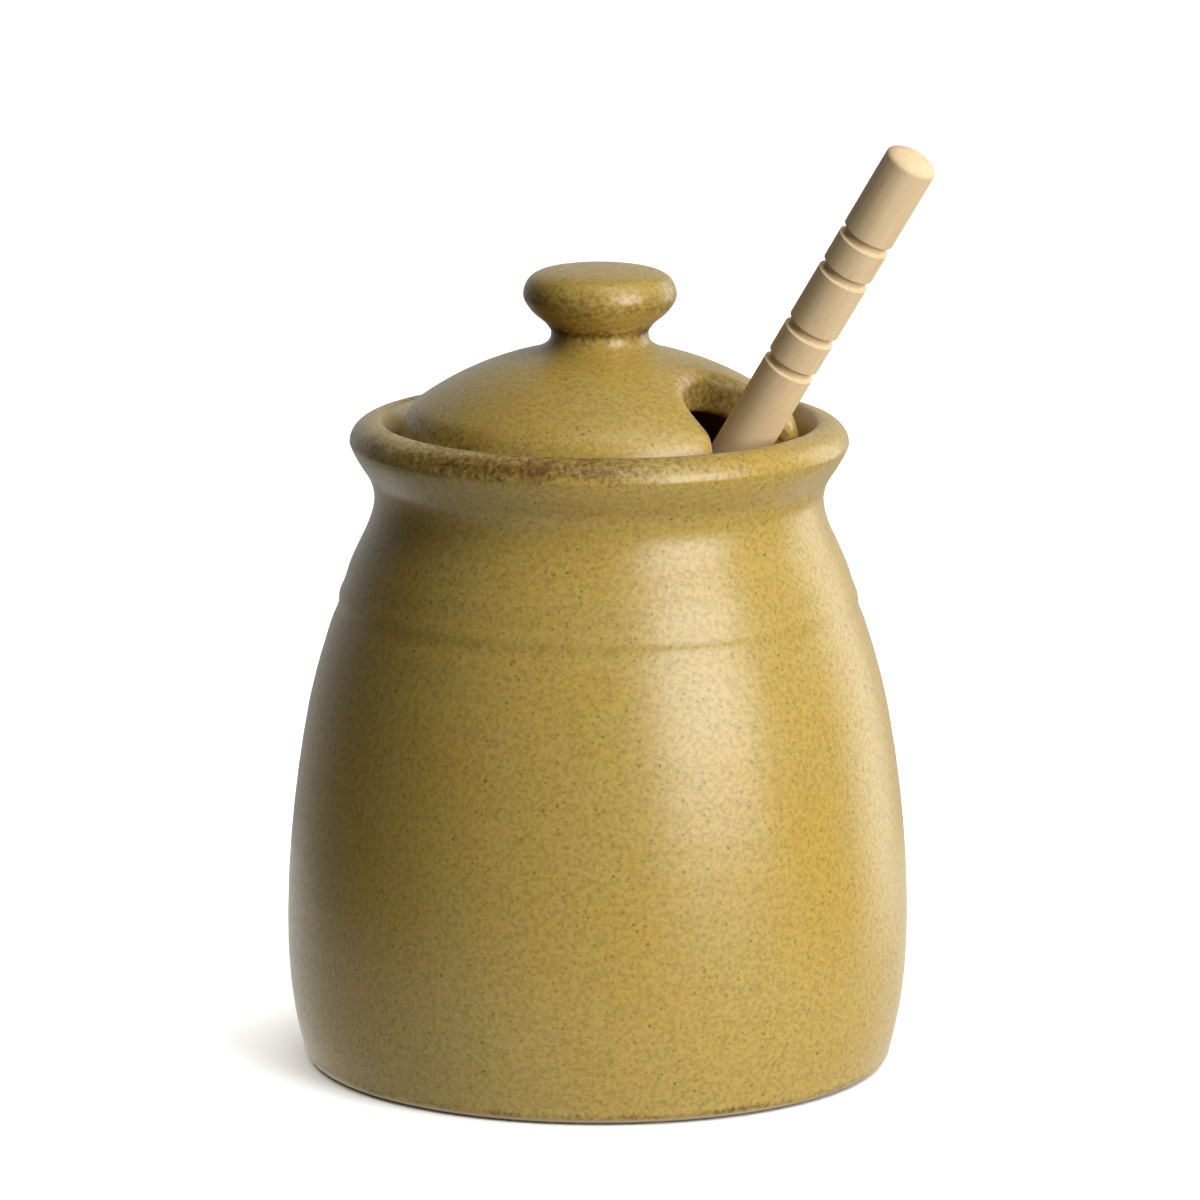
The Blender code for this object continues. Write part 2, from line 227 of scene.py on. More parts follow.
# The glaze runs thin on the rolled rim all round, and most to the left of the front, where it drained away.
# It is thin on the crest of the lip and the corner of the foot too, and a little where the neck bends out.
RIM_THIN = 0.10
RIM_DRAINED = 0.83
RIM_THIN_HEIGHT = RIM_HEIGHT + 0.0022
RIM_THIN_SPREAD = 0.0022
DRAINED_SIDE = math.radians(-114)
DRAINED_WIDTH = math.radians(48)
BEND_THIN = 0.06
BEND_HEIGHT = NECK_HEIGHT + 0.0040
BEND_SPREAD = 0.0015
LIP_THIN = 0.35
LIP_THIN_SPREAD = 0.0008
FOOT_THIN = 0.5
FOOT_THIN_HEIGHT = 0.0014
FOOT_THIN_SPREAD = 0.0007


def wobble(angle, height):
    """How far the wall is out of round at a place, as a share of the most."""
    two = TWO_SWELLS * math.sin(2 * angle + TWO_SWELLS_TWIST * height)
    three = THREE_SWELLS * math.sin(3 * angle - THREE_SWELLS_TWIST * height + 1)
    return 0.5 + two + three


jar_rings = []
jar_exposed = []
for i, (radius, height) in enumerate(base + outside + inside + floor_rings):
    on_outside = i < len(base) + len(outside)
    on_wall = FOOT_ROUND < height < RIM_HEIGHT
    marks = sum(depth * hump(height, middle, width) for middle, depth, width in THROWING_RINGS)
    on_rim = hump(height, RIM_THIN_HEIGHT, RIM_THIN_SPREAD) * (on_outside and radius > crest)
    on_bend = hump(height, BEND_HEIGHT, BEND_SPREAD) * BEND_THIN * on_outside
    on_lip = LIP_THIN * hump(radius, crest, LIP_THIN_SPREAD) * (height > LIP_HEIGHT - LIP_ROUND)
    at_corner = on_outside and radius > FOOT_RADIUS - FOOT_ROUND
    on_foot = FOOT_THIN * hump(height, FOOT_THIN_HEIGHT, FOOT_THIN_SPREAD) * at_corner
    ring = []
    for step in range(JAR_STEPS):
        angle = math.tau * step / JAR_STEPS - math.pi
        spiral = 0.5 + 0.5 * math.sin(math.tau * height / THROWING_PITCH + angle)
        if on_outside:
            out = radius - WHEEL_WOBBLE * wobble(angle, height) * min(1, height / BELLY_HEIGHT)
            out -= (marks + THROWING_DEPTH * spiral) * on_wall
        else:
            out = radius - INNER_THROWING_DEPTH * spiral * (on_wall and height < COLLAR_HEIGHT)
        ring.append((out * math.cos(angle), out * math.sin(angle), height))
        drained = RIM_THIN + RIM_DRAINED * hump(angle, DRAINED_SIDE, DRAINED_WIDTH)
        jar_exposed.append(min(1, on_rim * drained + on_lip + on_bend + on_foot))
    jar_rings.append(ring)
jar = skinned("jar_thrown", jar_rings, jar_exposed)


def linear(code):
    """A linear colour from an sRGB hex code."""
    channels = [int(code[i : i + 2], 16) / 255 for i in (1, 3, 5)]
    return (*[c / 12.92 if c <= 0.04045 else ((c + 0.055) / 1.055) ** 2.4 for c in channels], 1)


def per_mm(size):
    """The scale of a pattern whose features are this many millimetres across."""
    return 1000 / size


def add(owner, kind, inputs=None, **settings):
    """A node of a material or world with its settings, whose inputs are values or other nodes' outputs."""
    node = owner.node_tree.nodes.new("ShaderNode" + kind)
    for name, value in settings.items():
        setattr(node, name, value)
    for name, value in (inputs or {}).items():
        if isinstance(value, bpy.types.NodeSocket):
            owner.node_tree.links.new(value, node.inputs[name])
        else:
            node.inputs[name].default_value = value
    return node


def bare_material(name):
    """A new material with its shader and nothing wired to it."""
    material = bpy.data.materials.new(name)
    material.use_nodes = True
    return material, material.node_tree.nodes["Principled BSDF"]


# Reduction-fired ochre glaze: iron in the clay bleeds up through it as fine brown specks, it mottles in
# grains of about a millimetre, and it breaks to brown wherever it runs thin over an edge. It sets to a
# satin gloss. The same brown is also laid on the lid as painted shade in the knob's crease, on the notch's
# wall and at the dome's edge on the left.
GLAZE_OCHRE = "#C2A656"
GLAZE_GOLD = "#C6A248"
GLAZE_TAN = "#A2853D"
# brown of the glaze's break, also used for painted shade on the lid
BREAK_AND_SHADE_BROWN = "#5D3C10"
SPECK_BROWN = "#4A3513"
CLAY = "#C9B08A"
GLAZE_IOR = 1.57
CLOUD_MM = 22
MOTTLE_MM = 0.8

glaze, shader = bare_material("reduction_fired_ochre_glaze")
place = add(glaze, "TexCoord").outputs["Object"]
clouds = add(glaze, "TexNoise", {"Vector": place, "Scale": per_mm(CLOUD_MM), "Detail": 3, "Roughness": 0.5})
cloud_share = add(
    glaze,
    "MapRange",
    {"Value": clouds.outputs["Fac"], "From Min": 0.42, "From Max": 0.70, "To Max": 0.8},
)
body_colour = add(
    glaze,
    "Mix",
    {"Factor": cloud_share.outputs["Result"], "A": linear(GLAZE_OCHRE), "B": linear(GLAZE_GOLD)},
    data_type="RGBA",
)
mottle = add(
    glaze,
    "TexNoise",
    {"Vector": place, "Scale": per_mm(MOTTLE_MM), "Detail": 2, "Roughness": 0.5},
)
mottle_share = add(
    glaze,
    "MapRange",
    {"Value": mottle.outputs["Fac"], "From Min": 0.38, "From Max": 0.72, "To Max": 0.78},
)
mottled = add(
    glaze,
    "Mix",
    {"Factor": mottle_share.outputs["Result"], "A": body_colour.outputs["Result"], "B": linear(GLAZE_TAN)},
    data_type="RGBA",
)

# Iron specks in three sizes: a cell of a pattern has room for one, and only some of the cells have one. For
# each size: the cell in millimetres, the widest speck's radius as a share of it, the share of cells in use,
# and the strength.
SPECKS = ((1.0, 0.42, 0.75, 0.45), (1.9, 0.25, 0.60, 0.68), (6.0, 0.09, 0.40, 0.75))

speckled = mottled
speck_masks = []
for cell, widest, share, strength in SPECKS:
    cells = add(glaze, "TexVoronoi", {"Vector": place, "Scale": per_mm(cell), "Randomness": 1.0})
    lottery = add(glaze, "SeparateColor", {"Color": cells.outputs["Color"]})
    drawn = add(glaze, "Math", {0: lottery.outputs["Red"], 1: share}, operation="LESS_THAN")
    least = widest / 2
    size = add(
        glaze,
        "Math",
        {0: lottery.outputs["Green"], 1: widest - least, 2: least},
        operation="MULTIPLY_ADD",
    )
    spot = add(
        glaze,
        "MapRange",
        {
            "Value": cells.outputs["Distance"],
            "From Min": size.outputs[0],
            "From Max": 0.0,
            "To Max": strength,
        },
        interpolation_type="SMOOTHSTEP",
    )
    mask = add(glaze, "Math", {0: spot.outputs["Result"], 1: drawn.outputs[0]}, operation="MULTIPLY")
    speckled = add(
        glaze,
        "Mix",
        {"Factor": mask.outputs[0], "A": speckled.outputs["Result"], "B": linear(SPECK_BROWN)},
        data_type="RGBA",
    )
    speck_masks.append(mask)
middle_specks = speck_masks[1]

# The break: where the glaze is thin it shows brown in grains, which crowd together where it is thinnest.
# The same grains of brown also paint shade on the lid.
BREAK_GRAIN_MM = 0.9
BREAK_DRIFT_MM = 7
BREAK_DRIFT = 0.5
BREAK_CONTRAST = 2.4
BREAK_SPARSENESS = 1.8

break_and_shade = add(glaze, "Attribute", attribute_name="break_and_shade").outputs["Fac"]
grains = add(
    glaze,
    "TexNoise",
    {"Vector": place, "Scale": per_mm(BREAK_GRAIN_MM), "Detail": 4, "Roughness": 0.65},
)
drift = add(glaze, "TexNoise", {"Vector": place, "Scale": per_mm(BREAK_DRIFT_MM), "Detail": 2})
drifting_grains = add(
    glaze,
    "Math",
    {0: drift.outputs["Fac"], 1: BREAK_DRIFT, 2: grains.outputs["Fac"]},
    operation="MULTIPLY_ADD",
)
unevenness = add(
    glaze,
    "Math",
    {0: drifting_grains.outputs[0], 1: BREAK_CONTRAST, 2: -BREAK_SPARSENESS},
    operation="MULTIPLY_ADD",
)
thinness_and_shade = add(glaze, "Math", {0: break_and_shade, 1: unevenness.outputs[0]}, operation="ADD")
break_share = add(
    glaze,
    "MapRange",
    {"Value": thinness_and_shade.outputs[0], "From Min": 0.30, "From Max": 1.10, "To Max": 0.9},
)
near_edge = add(glaze, "MapRange", {"Value": break_and_shade, "From Min": 0.02, "From Max": 0.25})
break_and_shade_mask = add(
    glaze,
    "Math",
    {0: break_share.outputs["Result"], 1: near_edge.outputs["Result"]},
    operation="MULTIPLY",
)
# This brown paints the glaze's break and also the painted shade of the lid's crease, notch wall and left
# edge
broken_and_shaded = add(
    glaze,
    "Mix",
    {"Factor": break_and_shade_mask.outputs[0], "A": speckled.outputs["Result"], "B": linear(BREAK_AND_SHADE_BROWN)},
    data_type="RGBA",
)

# The foot was wiped before firing, so a thin line of bare clay shows under the glaze
WIPED_HEIGHT = 0.0007
GLAZED_HEIGHT = 0.0011

height_up = add(glaze, "SeparateXYZ", {"Vector": place}).outputs["Z"]
wiped = add(glaze, "MapRange", {"Value": height_up, "From Min": GLAZED_HEIGHT, "From Max": WIPED_HEIGHT})
finished = add(
    glaze,
    "Mix",
    {"Factor": wiped.outputs["Result"], "A": broken_and_shaded.outputs["Result"], "B": linear(CLAY)},
    data_type="RGBA",
)

# The satin varies with the mottle, is a little drier where the glaze breaks, and gives way to dry clay at
# the foot. The skin ripples slightly, and the specks of the middle size sit in it as pits.
SATIN_LEAST = 0.27
SATIN_MOST = 0.38
BREAK_DRYNESS = 0.14
CLAY_ROUGHNESS = 0.85
RIPPLE_MM = 1.3
RIPPLE_DEPTH = 0.00009
RIPPLE_STRENGTH = 0.35
PIT_SHARE = 0.25

satin = add(
    glaze,
    "MapRange",
    {"Value": mottle.outputs["Fac"], "To Min": SATIN_LEAST, "To Max": SATIN_MOST},
)
broken_satin = add(
    glaze,
    "Math",
    {0: break_and_shade_mask.outputs[0], 1: BREAK_DRYNESS, 2: satin.outputs["Result"]},
    operation="MULTIPLY_ADD",
)
dry = add(
    glaze,
    "Mix",
    {"Factor": wiped.outputs["Result"], "A": broken_satin.outputs[0], "B": CLAY_ROUGHNESS},
)
skin_ripple = add(glaze, "TexNoise", {"Vector": place, "Scale": per_mm(RIPPLE_MM), "Detail": 3})
pits = add(
    glaze,
    "Math",
    {0: middle_specks.outputs[0], 1: -PIT_SHARE, 2: skin_ripple.outputs["Fac"]},
    operation="MULTIPLY_ADD",
)
relief = add(
    glaze,
    "Bump",
    {"Height": pits.outputs[0], "Strength": RIPPLE_STRENGTH, "Distance": RIPPLE_DEPTH},
)
glaze.node_tree.links.new(finished.outputs["Result"], shader.inputs["Base Color"])
glaze.node_tree.links.new(dry.outputs["Result"], shader.inputs["Roughness"])
glaze.node_tree.links.new(relief.outputs["Normal"], shader.inputs["Normal"])
shader.inputs["IOR"].default_value = GLAZE_IOR
jar.data.materials.append(glaze)
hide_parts("jar")
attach(jar, "jar")


# The lid is thrown upside down as a shallow dome, turned to leave a bun knob on a narrow neck, and has a
# notch cut out of its edge for the dipper and sponged round while the clay is soft. Its foot sits in the
# gallery.
LID_DOME_HEIGHT = 0.0212
LID_DOME_RADIUS = 0.0520
LID_WALL = 0.0066
LID_EDGE_WIDTH = 0.0030
LID_EDGE_DROP = 0.0061
LID_FOOT_ROUND = 0.0018
LID_FOOT_WIDTH = 0.0048
LID_HOLLOW_ROUND = 0.0040
KNOB_NECK_RADIUS = 0.0082
KNOB_NECK_HEIGHT = 0.0225
KNOB_NECK_FLARE = 0.0043
KNOB_CREASE_RADIUS = 0.0088
KNOB_CREASE_HEIGHT = 0.0244
KNOB_UNDER_RADIUS = 0.0116
KNOB_UNDER_HEIGHT = 0.0270
KNOB_RADIUS = 0.01285
KNOB_WIDEST_HEIGHT = 0.0296
KNOB_SHOULDER_RADIUS = 0.0114
KNOB_SHOULDER_HEIGHT = 0.0326
KNOB_CROWN_RADIUS = 0.0070
KNOB_CROWN_HEIGHT = 0.0339
NOTCH_INNER_END = 0.0186
NOTCH_BEND = 0.01025
NOTCH_FLARE = math.radians(15)
NOTCH_CORNER_ROUND = 0.0030
NOTCH_EDGE_ROUND = 0.0020
NOTCH_DIRECTION = math.radians(-33.5)
NOTCH_FAN = math.radians(14)
NOTCH_STEPS = 14
LID_EDGE_STEPS = 72
DOME_STEPS = 26
DOME_CROWDING = 1.4
EDGE_ROLL_STEPS = 12
EDGE_WALL_STEPS = 4
LID_FOOT_STEPS = 6
HOLLOW_STEPS = 12
HOLLOW_REACH = 0.95
ACROSS_HOLLOW = (0.7, 0.35, 0.1)

lid_radius = gallery_radius - LID_PLAY
knob_height = lid_high.z - lid_low.z


def spaced(start, end, steps):
    """Even steps from start to end, both included."""
    return [start + (end - start) * i / steps for i in range(steps + 1)]


def ease(share):
    """A share from 0 to 1 that starts and ends level."""
    share = min(max(share, 0), 1)
    return share * share * (3 - 2 * share)


def roll(distance, width):
    """How far a quarter-round edge has fallen, as a share of its depth: all of it at distance 0."""
    share = min(max(distance / width, 0), 1)
    return 1 - math.sqrt(share * (2 - share))


def dome(radius, reach=LID_DOME_RADIUS):
    """Height over the lid's foot of the dome, or of a sphere inside it with a smaller reach."""
    return LID_DOME_HEIGHT - LID_DOME_RADIUS + math.sqrt(reach**2 - radius**2)


def lid_top(radius):
    """The dome with its sweep up to the knob's neck."""
    sweep = roll(radius - KNOB_NECK_RADIUS, KNOB_NECK_FLARE)
    return dome(radius) + (KNOB_NECK_HEIGHT - dome(KNOB_NECK_RADIUS)) * sweep


def lid_under(radius):
    """The underside: a flat foot ring, with the hollow inside it."""
    inner = LID_DOME_RADIUS - LID_WALL
    return dome(radius, inner) * ease((lid_radius - LID_FOOT_WIDTH - radius) / LID_HOLLOW_ROUND)


def lid_outline():
    """The lid's plan with its notch along +X, point by point.

    Each has its place, the way it faces, 1 on the rim or 0 in the notch, and the angle at which its column
    leaves the middle: a wider fan than the notch's sides, which draw together, so that no columns cross.
    """
    flare = math.degrees(NOTCH_FLARE)
    middle = Vector((NOTCH_INNER_END + NOTCH_BEND, 0))
    half = []
    for point in arc(middle, (NOTCH_BEND, NOTCH_BEND), 180, 90 + flare, NOTCH_STEPS):
        half.append((Vector(point), (middle - Vector(point)) / NOTCH_BEND, 0))
    start, facing, _ = half[-1]
    side = Vector((-facing.y, facing.x))
    line = start - facing * NOTCH_CORNER_ROUND
    run = math.sqrt(line.dot(side) ** 2 - line.length_squared + (lid_radius - NOTCH_CORNER_ROUND) ** 2)
    run -= line.dot(side)
    corner = line + side * run
    turn = math.degrees(math.atan2(corner.y, corner.x))
    rounded = arc(corner, (NOTCH_CORNER_ROUND, NOTCH_CORNER_ROUND), flare - 90, turn, NOTCH_STEPS)
    for i, point in enumerate(rounded):
        half.append((Vector(point), (Vector(point) - corner) / NOTCH_CORNER_ROUND, ease(i / NOTCH_STEPS)))
    for point in arc((0, 0), (lid_radius, lid_radius), turn, 180, LID_EDGE_STEPS)[1:]:
        half.append((Vector(point), Vector(point) / lid_radius, 1))
    fan = math.radians(turn) + NOTCH_FAN
    turns = spaced(0, fan, NOTCH_STEPS) + spaced(fan, fan + NOTCH_FAN / 2, NOTCH_STEPS + 1)[1:]
    turns += spaced(turns[-1], math.pi, LID_EDGE_STEPS)[1:]
    half = [(*entry, turn) for entry, turn in zip(half, turns)]
    flip = Vector((1, -1))
    mirrored = [(point * flip, facing * flip, rim, -turn) for point, facing, rim, turn in half[1:-1]]
    return half + mirrored[::-1]


def swung(end, turn, share, radius):
    """The point at this radius on a path that starts out at turn and comes round to end at share 1."""
    lag = (math.atan2(end.y, end.x) - turn + math.pi) % math.tau - math.pi
    return (radius * math.cos(turn + lag * share), radius * math.sin(turn + lag * share))


bun = smooth(
    [
        (0, knob_height),
        (KNOB_CROWN_RADIUS, KNOB_CROWN_HEIGHT),
        (KNOB_SHOULDER_RADIUS, KNOB_SHOULDER_HEIGHT),
        (KNOB_RADIUS, KNOB_WIDEST_HEIGHT),
        (KNOB_UNDER_RADIUS, KNOB_UNDER_HEIGHT),
        (KNOB_CREASE_RADIUS, KNOB_CREASE_HEIGHT),
    ],
    steps=9,
    before=(-KNOB_CROWN_RADIUS, KNOB_CROWN_HEIGHT),
    after=(KNOB_NECK_RADIUS, KNOB_NECK_HEIGHT),
)
crease_end = (KNOB_NECK_RADIUS, (KNOB_CREASE_HEIGHT + KNOB_NECK_HEIGHT) / 2)
neck_foot = (KNOB_NECK_RADIUS, KNOB_NECK_HEIGHT)
crease = smooth([bun[-1], crease_end, neck_foot], steps=4, after=(KNOB_NECK_RADIUS, 0))
knob = bun[1:] + crease[1:]

# The lid's glaze runs thin round the knob's widest place and under it, most of all to the left of the
# front, round the notch's sponged edge, and at the dome's edge. The brown along the crease below the knob,
# on the notch's wall and at the dome's edge on the left is partly thin glaze and partly painted shade.
KNOB_THIN = 0.18
KNOB_WORN = 0.44
KNOB_WORN_SIDE = math.radians(-130)
KNOB_THIN_HEIGHT = KNOB_WIDEST_HEIGHT - 0.0008
KNOB_THIN_SPREAD = 0.0026
# The crease band is partly glaze break and partly painted shade, darkening the crease under the knob and
# the neck below it
CREASE_BREAK_AND_SHADE = 0.9
CREASE_DARK_HEIGHT = KNOB_CREASE_HEIGHT - 0.0006
CREASE_DARK_SPREAD = 0.0011
EDGE_THIN = 0.05
# The dome's edge on the left is darkened: partly worn glaze, partly painted shade where the lid's edge sits
# in the rim
EDGE_WORN_AND_SHADED = 0.75
EDGE_DARK_SIDE = math.radians(-162)
EDGE_DARK_FOCUS = 4
NOTCH_BRINK_THIN = 0.12
NOTCH_BRINK_SPREAD = 0.0012
NOTCH_ROLL_THIN = 0.15
NOTCH_ROLL_WORN = 0.45
# The notch's wall is brown partly from thin glaze on the sponged cut and partly as painted shade
NOTCH_WALL_BREAK_AND_SHADE = 0.65
NOTCH_FOOT_THIN = 0.6


def towards(side, direction):
    """1 where a direction is the side's own, falling to 0 on the opposite side."""
    return 0.5 + 0.5 * math.cos(direction - side)


lid_columns = []
for point, facing, rim, turn in lid_outline():
    notch = 1 - rim
    width = NOTCH_EDGE_ROUND + (LID_EDGE_WIDTH - NOTCH_EDGE_ROUND) * rim
    drop = NOTCH_EDGE_ROUND + (LID_EDGE_DROP - NOTCH_EDGE_ROUND) * rim
    dome_end = point - facing * width
    direction = turn + NOTCH_DIRECTION
    knob_thin = KNOB_THIN + KNOB_WORN * towards(KNOB_WORN_SIDE, direction)
    # thin glaze all round the dome's edge, with painted shade added towards the left
    edge_thin_and_shade = EDGE_THIN + EDGE_WORN_AND_SHADED * towards(EDGE_DARK_SIDE, direction) ** EDGE_DARK_FOCUS
    column = []
    for radius, height in knob:
        around_knob = hump(height, KNOB_THIN_HEIGHT, KNOB_THIN_SPREAD) * knob_thin
        # painted shade along the crease under the knob, together with the thin glaze there
        crease_break_and_shade = hump(height, CREASE_DARK_HEIGHT, CREASE_DARK_SPREAD) * CREASE_BREAK_AND_SHADE
        column.append((*swung(dome_end, turn, 0, radius), height, min(1, around_knob + crease_break_and_shade)))
    for share in spaced(0, 1, DOME_STEPS)[1:-1]:
        outward = share**DOME_CROWDING
        radius = KNOB_NECK_RADIUS + (dome_end.length - KNOB_NECK_RADIUS) * outward
        brink = notch * hump(radius, dome_end.length, NOTCH_BRINK_SPREAD) * NOTCH_BRINK_THIN
        column.append((*swung(dome_end, turn, outward, radius), lid_top(radius), brink))
    for angle in spaced(0, math.pi / 2, EDGE_ROLL_STEPS):
        fall = math.sin(angle)
        inset = width * (1 - fall)
        at = point - facing * inset
        top = lid_top(at.length) - drop * roll(inset, width)
        thin = notch * (NOTCH_ROLL_THIN + NOTCH_ROLL_WORN * fall) + rim * edge_thin_and_shade * fall
        column.append((*at, top, thin))
    for share in spaced(0, 1, EDGE_WALL_STEPS)[1:-1]:
        foot_top = lid_under(point.length) + LID_FOOT_ROUND
        # the notch's wall: thin glaze plus painted shade
        column.append((*point, top + (foot_top - top) * share, notch * NOTCH_WALL_BREAK_AND_SHADE))
    for angle in spaced(0, math.pi / 2, LID_FOOT_STEPS):
        inset = LID_FOOT_ROUND * (1 - math.cos(angle))
        at = point - facing * inset
        under = lid_under(at.length) + LID_FOOT_ROUND * roll(inset, LID_FOOT_ROUND)
        column.append((*at, under, notch * NOTCH_FOOT_THIN))
    hollow_end = min(lid_radius - LID_FOOT_WIDTH, at.length * HOLLOW_REACH)
    inward = [hollow_end - LID_HOLLOW_ROUND * share for share in spaced(0, 1, HOLLOW_STEPS)]
    inward += [inward[-1] * share for share in ACROSS_HOLLOW]
    for radius in inward:
        column.append((*swung(at, turn, radius / at.length, radius), lid_under(radius), 0))
    lid_columns.append(column)
lid_rings = [[entry[:3] for entry in ring] for ring in zip(*lid_columns)]
lid_break_and_shade = [entry[3] for ring in zip(*lid_columns) for entry in ring]
lid = skinned("lid_thrown", lid_rings, lid_break_and_shade)
lid.data.transform(Matrix.Translation((0, 0, lid_low.z)) @ Matrix.Rotation(NOTCH_DIRECTION, 4, "Z"))
lid.data.materials.append(glaze)
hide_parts("lid")
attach(lid, "lid")


# The dipper is turned from one beech rod: a straight handle with two pairs of cut bands and a softly domed
# end, and a ringed barrel head that holds the honey. It is sanded and left bare, and leans on the ledge
# inside the rim.
DIPPER_STEPS = 64
DIPPER_LENGTH = 0.1722
HANDLE_RADIUS = 0.00445
HANDLE_SHOULDER_RADIUS = 0.0032
HANDLE_SHOULDER_DROP = 0.0006
HANDLE_END_DROP = 0.0019
BAND_WIDTH = 0.0018
BAND_DEPTH = 0.0007
BAND_WALL = 0.0003
BAND_WALL_STEPS = 6
BAND_SPACING = 0.0071
BAND_PAIRS = (0.0170, 0.0359)
HEAD_RADIUS = 0.0155
HEAD_LENGTH = 0.0400
HEAD_CURVE = 0.0270
HEAD_CORE_RADIUS = 0.0085
HEAD_NECK_LENGTH = 0.0070
RING_COUNT = 7
RING_GAP = 0.0028
RING_SHARES = (1, 0.93, 0.8, 0.5, 0.2, 0.07, 0)
RING_SOFTNESS = 0.0003
RING_SQUARENESS = 8
HEAD_END_SHARE = 0.1

dipper_low, dipper_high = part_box("dipper")
draw = next(joint for joint in frame["joints"] if joint["name"] == "dipper_draw")
dipper_axis = Vector(draw["axis"]).normalized()


def head_radius(height):
    """The barrel outline that the dipper's rings are turned to."""
    return HEAD_RADIUS * math.sqrt(1 - ((height - HEAD_LENGTH / 2) / HEAD_CURVE) ** 2)


dipper_section = smooth(
    [
        (0, DIPPER_LENGTH),
        (HANDLE_SHOULDER_RADIUS, DIPPER_LENGTH - HANDLE_SHOULDER_DROP),
        (HANDLE_RADIUS, DIPPER_LENGTH - HANDLE_END_DROP),
    ],
    steps=8,
    before=(-HANDLE_SHOULDER_RADIUS, DIPPER_LENGTH - HANDLE_SHOULDER_DROP),
    after=(HANDLE_RADIUS, 0),
)[1:]
band_side = [ease(share) for share in spaced(0, 1, BAND_WALL_STEPS)]
for pair in BAND_PAIRS:
    for middle in (DIPPER_LENGTH - pair, DIPPER_LENGTH - pair - BAND_SPACING):
        top = middle + BAND_WIDTH / 2
        bottom = middle - BAND_WIDTH / 2
        dipper_section += [(HANDLE_RADIUS, top + BAND_WALL), (HANDLE_RADIUS, top + BAND_WALL / 4)]
        for i, cut in enumerate(band_side):
            down = BAND_WALL * i / BAND_WALL_STEPS
            dipper_section.append((HANDLE_RADIUS - BAND_DEPTH * cut, top - down))
        for i, cut in enumerate(reversed(band_side)):
            up = BAND_WALL * (BAND_WALL_STEPS - i) / BAND_WALL_STEPS
            dipper_section.append((HANDLE_RADIUS - BAND_DEPTH * cut, bottom + up))
        dipper_section += [(HANDLE_RADIUS, bottom - BAND_WALL / 4), (HANDLE_RADIUS, bottom - BAND_WALL)]
top_radius = head_radius(HEAD_LENGTH)
cove = (top_radius - HANDLE_RADIUS, HEAD_NECK_LENGTH)
dipper_section += arc((top_radius, HEAD_LENGTH + HEAD_NECK_LENGTH), cove, 180, 255, steps=10)
ring_height = (HEAD_LENGTH - (RING_COUNT - 1) * RING_GAP) / RING_COUNT
for i in reversed(range(RING_COUNT)):
    low = i * (ring_height + RING_GAP)
    for share in RING_SHARES:
        sanded_off = RING_SOFTNESS * (abs(share - 0.5) * 2) ** RING_SQUARENESS
        height = low + ring_height * share
        dipper_section.append((head_radius(height) - sanded_off, height))
    if i:
        dipper_section += [(HEAD_CORE_RADIUS, low), (HEAD_CORE_RADIUS, low - RING_GAP)]
dipper_section += [(HEAD_CORE_RADIUS, 0), (HEAD_CORE_RADIUS * HEAD_END_SHARE, 0)]
angles = [math.tau * step / DIPPER_STEPS for step in range(DIPPER_STEPS)]
dipper_rings = []
for radius, height in dipper_section:
    dipper_rings.append([(radius * math.cos(angle), radius * math.sin(angle), height) for angle in angles])
dipper = skinned("dipper_turned", dipper_rings)


def extent(axis, side):
    """How far the leaning dipper reaches from its lower end along one axis, to side 1 or -1."""
    lean = dipper_axis[axis] * side
    spread = math.sqrt(1 - lean**2)
    return side * max(lean * height + spread * radius for radius, height in dipper_section)


dipper_end = Vector(
    (dipper_high.x - extent(0, 1), dipper_low.y - extent(1, -1), dipper_high.z - extent(2, 1))
)
dipper_turn = dipper_axis.to_track_quat("Z", "Y")
dipper.data.transform(Matrix.Translation(dipper_end) @ dipper_turn.to_matrix().to_4x4())

# Bare sanded beech: pale tan, with fine growth lines along the rod and the short dark flecks that mark
# beech. Each pattern's scale along the rod is a small share of its scale across it.
BEECH_PALE = "#F0D5A9"
BEECH_TAN = "#E7C89A"
BEECH_FLECK = "#B08D63"
BEECH_IOR = 1.5
SANDED_ROUGHNESS = 0.62
GROWTH_MM = 1.1
GROWTH_ALONG = 0.045
FLECK_MM = 0.55
FLECK_ALONG = 0.16
FLECK_PIT = 0.6
GRAIN_DEPTH = 0.00015
GRAIN_STRENGTH = 0.25

beech, shader = bare_material("sanded_bare_beech")
place = add(beech, "TexCoord").outputs["Object"]
on_rod = {"Vector": place, "Location": dipper_end, "Rotation": dipper_turn.to_euler()}
along = add(beech, "Mapping", on_rod, vector_type="TEXTURE").outputs["Vector"]
stretched = add(beech, "Mapping", {"Vector": along, "Scale": (1, 1, GROWTH_ALONG)})
growth = add(
    beech,
    "TexNoise",
    {"Vector": stretched.outputs["Vector"], "Scale": per_mm(GROWTH_MM), "Detail": 5},
)
growth_share = add(beech, "MapRange", {"Value": growth.outputs["Fac"], "From Min": 0.35, "From Max": 0.7})
wood = add(
    beech,
    "Mix",
    {"Factor": growth_share.outputs["Result"], "A": linear(BEECH_PALE), "B": linear(BEECH_TAN)},
    data_type="RGBA",
)
fleck_space = add(beech, "Mapping", {"Vector": along, "Scale": (1, 1, FLECK_ALONG)})
flecks = add(beech, "TexVoronoi", {"Vector": fleck_space.outputs["Vector"], "Scale": per_mm(FLECK_MM)})
fleck_share = add(
    beech,
    "MapRange",
    {"Value": flecks.outputs["Distance"], "From Min": 0.34, "From Max": 0.12, "To Max": 0.18},
)
flecked = add(
    beech,
    "Mix",
    {"Factor": fleck_share.outputs["Result"], "A": wood.outputs["Result"], "B": linear(BEECH_FLECK)},
    data_type="RGBA",
)
